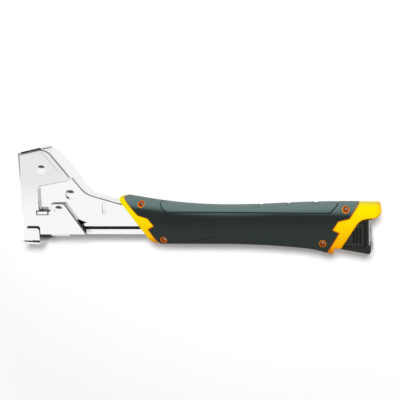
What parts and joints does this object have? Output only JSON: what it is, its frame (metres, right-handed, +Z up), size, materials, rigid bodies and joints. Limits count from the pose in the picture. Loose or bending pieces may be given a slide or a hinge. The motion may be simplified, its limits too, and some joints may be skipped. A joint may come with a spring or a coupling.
{
  "type": "hammer tacker",
  "caption": "Hammer tacker: a staple gun swung like a hammer, with a plated steel head and arm, a sprung nose and magazine, a two-tone grip and a pull-out pusher with a squeeze latch.",
  "frame": {"origin": "centre of the footprint, on the surface that the tool lies on, with the tool on its side as it is laid down", "axes": "+X from the nose to the rear of the handle, +Y towards the top of the tool, +Z up, across the tool's width"},
  "size_m": [0.3634, 0.1085, 0.034],
  "materials": {
    "plated_steel": "bright plated sheet",
    "plain_steel": "plain bright steel",
    "dark_steel": "oiled dark steel",
    "spring_steel": "drawn wire",
    "bush_brass": "plain turned",
    "yellow_plastic": "moulded, satin gloss",
    "grip_rubber": "moulded, fine texture",
    "black_plastic": "moulded, satin"
  },
  "bodies": {
    "tool_body": {"head_frame": "plated_steel", "front_plate": "plated_steel", "hammer_rivet": "plated_steel", "arm_rivet": "plated_steel", "stop_rivet": "plated_steel", "arm_spacer": "plain_steel", "hammer_block": "plain_steel", "driver_blade": "plain_steel", "handle_shell_left": "yellow_plastic", "handle_shell_right": "yellow_plastic", "grip_left": "grip_rubber", "grip_right": "grip_rubber", "handle_screws": "plain_steel", "pivot_pin": "plain_steel"},
    "magazine": {"magazine_channel": "plated_steel", "core_rail": "dark_steel", "nose_bracket": "plain_steel", "nose_foot": "plated_steel", "sole_plate": "plated_steel", "pivot_bracket": "plain_steel", "pivot_bush": "bush_brass", "spring_seat": "plain_steel", "return_spring": "spring_steel"},
    "pusher": {"pusher_rod": "plain_steel", "end_cap": "black_plastic", "end_plate": "plated_steel", "latch_pins": "plain_steel", "latch_spring_left": "spring_steel", "latch_spring_right": "spring_steel", "follower_spring": "spring_steel"},
    "staple_follower": {"follower": "black_plastic"},
    "latch_left": {"latch_lever_left": "black_plastic"},
    "latch_right": {"latch_lever_right": "black_plastic"}
  },
  "joints": [
    {"name": "magazine_swing", "type": "hinge", "parent": "tool_body", "child": "magazine", "pos_m": [0.1249, -0.0216, 0.017], "axis": [0, 0, -1], "range_deg": [0, 3], "stiffness_Nm_per_rad": 250, "springref_deg": -2.86, "deforming": ["return_spring"]},
    {"name": "pusher_slide", "type": "slide", "parent": "magazine", "child": "pusher", "axis": [1, 0, 0], "range_m": [0, 0.34]},
    {"name": "follower_slide", "type": "slide", "parent": "pusher", "child": "staple_follower", "axis": [1, 0, 0], "range_m": [0, 0.12], "stiffness_N_per_m": 20, "springref_m": -0.15, "deforming": ["follower_spring"]},
    {"name": "latch_left_press", "type": "hinge", "parent": "pusher", "child": "latch_left", "pos_m": [0.1559, -0.03485, 0.0265], "axis": [0, 1, 0], "range_deg": [0, 8], "stiffness_Nm_per_rad": 0.5, "springref_deg": -2.86, "deforming": ["latch_spring_left"]},
    {"name": "latch_right_press", "type": "hinge", "parent": "pusher", "child": "latch_right", "pos_m": [0.1559, -0.03485, 0.0075], "axis": [0, -1, 0], "range_deg": [0, 8], "stiffness_Nm_per_rad": 0.5, "springref_deg": -2.86, "deforming": ["latch_spring_right"]}
  ]
}
